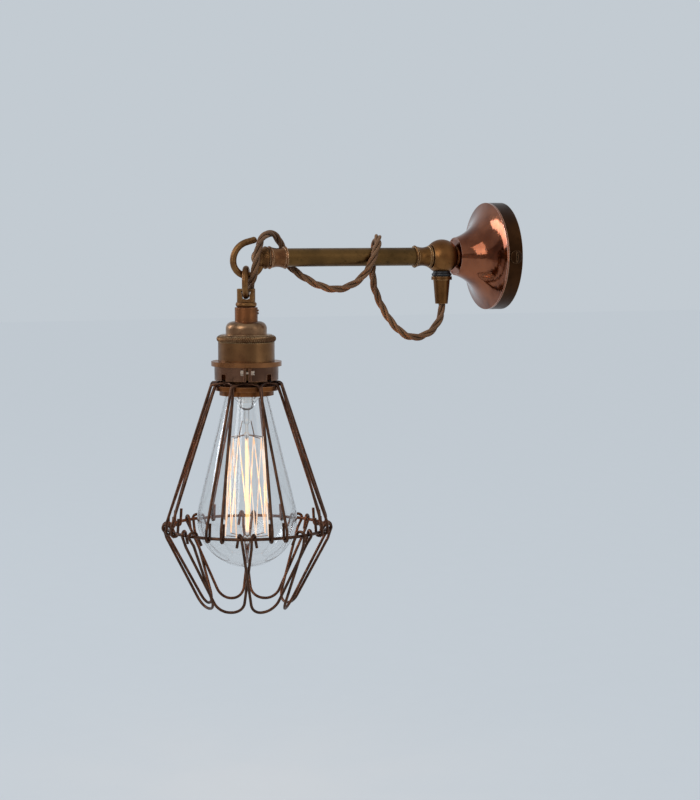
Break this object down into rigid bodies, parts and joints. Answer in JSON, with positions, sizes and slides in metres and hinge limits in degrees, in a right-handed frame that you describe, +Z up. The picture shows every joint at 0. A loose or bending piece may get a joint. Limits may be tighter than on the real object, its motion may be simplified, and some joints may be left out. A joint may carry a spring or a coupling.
{
  "type": "cage wall light",
  "caption": "Wall light with a ball elbow, a straight arm and hook, and a lampholder with an openable wire cage round a long filament lamp, hung from a link.",
  "frame": {"origin": "centre of the wall plate's two screw holes, on the wall plane", "axes": "+Z up; the wall is the plane y = 0 and the arm runs away from it along -Y; the cage's clamp ears face +X, the side the picture sees"},
  "size_m": [0.109, 0.2316, 0.2593],
  "materials": {
    "zinc_steel": "dull zinc plate",
    "dark_bronze": "dark bronze patina, satin",
    "polished_copper": "polished copper plate, clear",
    "turned_brass": "turned brass, satin",
    "aged_brass": "aged olive-brown brass, satin",
    "red_brass": "reddish copper plate, satin",
    "antique_bronze": "antique bronze, satin",
    "terminal_plastic": "moulded",
    "core_sheath": "insulated cores",
    "washer_rubber": "moulded",
    "cable_cloth": "twisted brown flex",
    "porcelain": "glazed",
    "shell_brass": "rolled thin brass",
    "screw_steel": "brassed steel",
    "cage_wire": "dark brown antique finish",
    "clear_glass": "clear blown glass",
    "contact_black": "black glass bead with a tinned tip",
    "support_wire": "thin wire",
    "filament_wire": "glowing filament"
  },
  "bodies": {
    "bracket": {"back_plate": "zinc_steel", "rose_ring": "dark_bronze", "rose_screws": "dark_bronze", "rose_cone": "polished_copper", "neck_nipple": "turned_brass", "neck_nut": "turned_brass", "terminal_block": "terminal_plastic", "terminal_screws": "turned_brass", "earth_screw": "turned_brass", "supply_cores": "core_sheath", "ball_elbow": "turned_brass", "grip_washer": "washer_rubber", "cord_grip": "turned_brass", "arm_stud": "zinc_steel", "rear_collar": "turned_brass", "arm_tube": "aged_brass", "front_collar": "red_brass", "hook": "aged_brass", "cable_run": "cable_cloth"},
    "link": {"link": "aged_brass"},
    "lamp": {"cable_drop": "cable_cloth", "loop_nut": "aged_brass", "sleeve": "red_brass", "grub_screw": "antique_bronze", "holder_cap": "antique_bronze", "knurled_ring": "antique_bronze", "holder_body": "antique_bronze", "lamp_insulator": "porcelain", "screw_shell": "shell_brass", "centre_contact": "turned_brass", "lamp_terminals": "turned_brass", "lamp_leads": "core_sheath", "cage_collar": "antique_bronze", "clamp_screw": "screw_steel", "clamp_nut": "screw_steel", "shade_ring": "red_brass", "cage_seat": "cage_wire", "cage_hoop": "cage_wire", "cage_rib_1": "cage_wire", "cage_rib_2": "cage_wire", "cage_rib_3": "cage_wire", "cage_rib_4": "cage_wire", "cage_rib_5": "cage_wire", "cage_rib_6": "cage_wire", "cage_rib_7": "cage_wire", "cage_rib_8": "cage_wire"},
    "bulb": {"lamp_glass": "clear_glass", "lamp_cap": "shell_brass", "lamp_contact": "contact_black", "lamp_stem": "clear_glass", "filament_frame": "support_wire", "filament": "filament_wire"},
    "petal_1": {"petal_1": "cage_wire"},
    "petal_2": {"petal_2": "cage_wire"},
    "petal_3": {"petal_3": "cage_wire"},
    "petal_4": {"petal_4": "cage_wire"},
    "petal_5": {"petal_5": "cage_wire"},
    "petal_6": {"petal_6": "cage_wire"},
    "petal_7": {"petal_7": "cage_wire"},
    "petal_8": {"petal_8": "cage_wire"}
  },
  "joints": [
    {"name": "link_swing", "type": "hinge", "parent": "bracket", "child": "link", "pos_m": [0, -0.1762, -0.0114], "axis": [0, 1, 0], "range_deg": [-15, 15]},
    {"name": "lamp_swing", "type": "hinge", "parent": "link", "child": "lamp", "pos_m": [0, -0.1771, -0.02415], "axis": [0.9272, -0.3746, 0], "range_deg": [-12, 12], "deforming": ["cable_drop"]},
    {"name": "bulb_out", "type": "slide", "parent": "lamp", "child": "bulb", "axis": [0, 0, -1], "range_m": [0, 0.026]},
    {"name": "petal_1_open", "type": "hinge", "parent": "lamp", "child": "petal_1", "pos_m": [0.04571, -0.1735, -0.1724], "axis": [0.0785, -0.9969, 0], "range_deg": [0, 95]},
    {"name": "petal_2_open", "type": "hinge", "parent": "lamp", "child": "petal_2", "pos_m": [0.02977, -0.14224, -0.1724], "axis": [0.7604, -0.6494, 0], "range_deg": [0, 95]},
    {"name": "petal_3_open", "type": "hinge", "parent": "lamp", "child": "petal_3", "pos_m": [-0.0036, -0.1314, -0.1724], "axis": [0.9969, 0.0785, 0], "range_deg": [0, 95]},
    {"name": "petal_4_open", "type": "hinge", "parent": "lamp", "child": "petal_4", "pos_m": [-0.03486, -0.14733, -0.1724], "axis": [0.6494, 0.7604, 0], "range_deg": [0, 95]},
    {"name": "petal_5_open", "type": "hinge", "parent": "lamp", "child": "petal_5", "pos_m": [-0.04571, -0.1807, -0.1724], "axis": [-0.0785, 0.9969, 0], "range_deg": [0, 95]},
    {"name": "petal_6_open", "type": "hinge", "parent": "lamp", "child": "petal_6", "pos_m": [-0.02977, -0.21196, -0.1724], "axis": [-0.7604, 0.6494, 0], "range_deg": [0, 95]},
    {"name": "petal_7_open", "type": "hinge", "parent": "lamp", "child": "petal_7", "pos_m": [0.0036, -0.22281, -0.1724], "axis": [-0.9969, -0.0785, 0], "range_deg": [0, 95]},
    {"name": "petal_8_open", "type": "hinge", "parent": "lamp", "child": "petal_8", "pos_m": [0.03486, -0.20688, -0.1724], "axis": [-0.6494, -0.7604, 0], "range_deg": [0, 95]}
  ],
  "couplings": [
    {"joint": "petal_2_open", "follows": "petal_1_open", "ratio": 1},
    {"joint": "petal_3_open", "follows": "petal_1_open", "ratio": 1},
    {"joint": "petal_4_open", "follows": "petal_1_open", "ratio": 1},
    {"joint": "petal_5_open", "follows": "petal_1_open", "ratio": 1},
    {"joint": "petal_6_open", "follows": "petal_1_open", "ratio": 1},
    {"joint": "petal_7_open", "follows": "petal_1_open", "ratio": 1},
    {"joint": "petal_8_open", "follows": "petal_1_open", "ratio": 1}
  ]
}
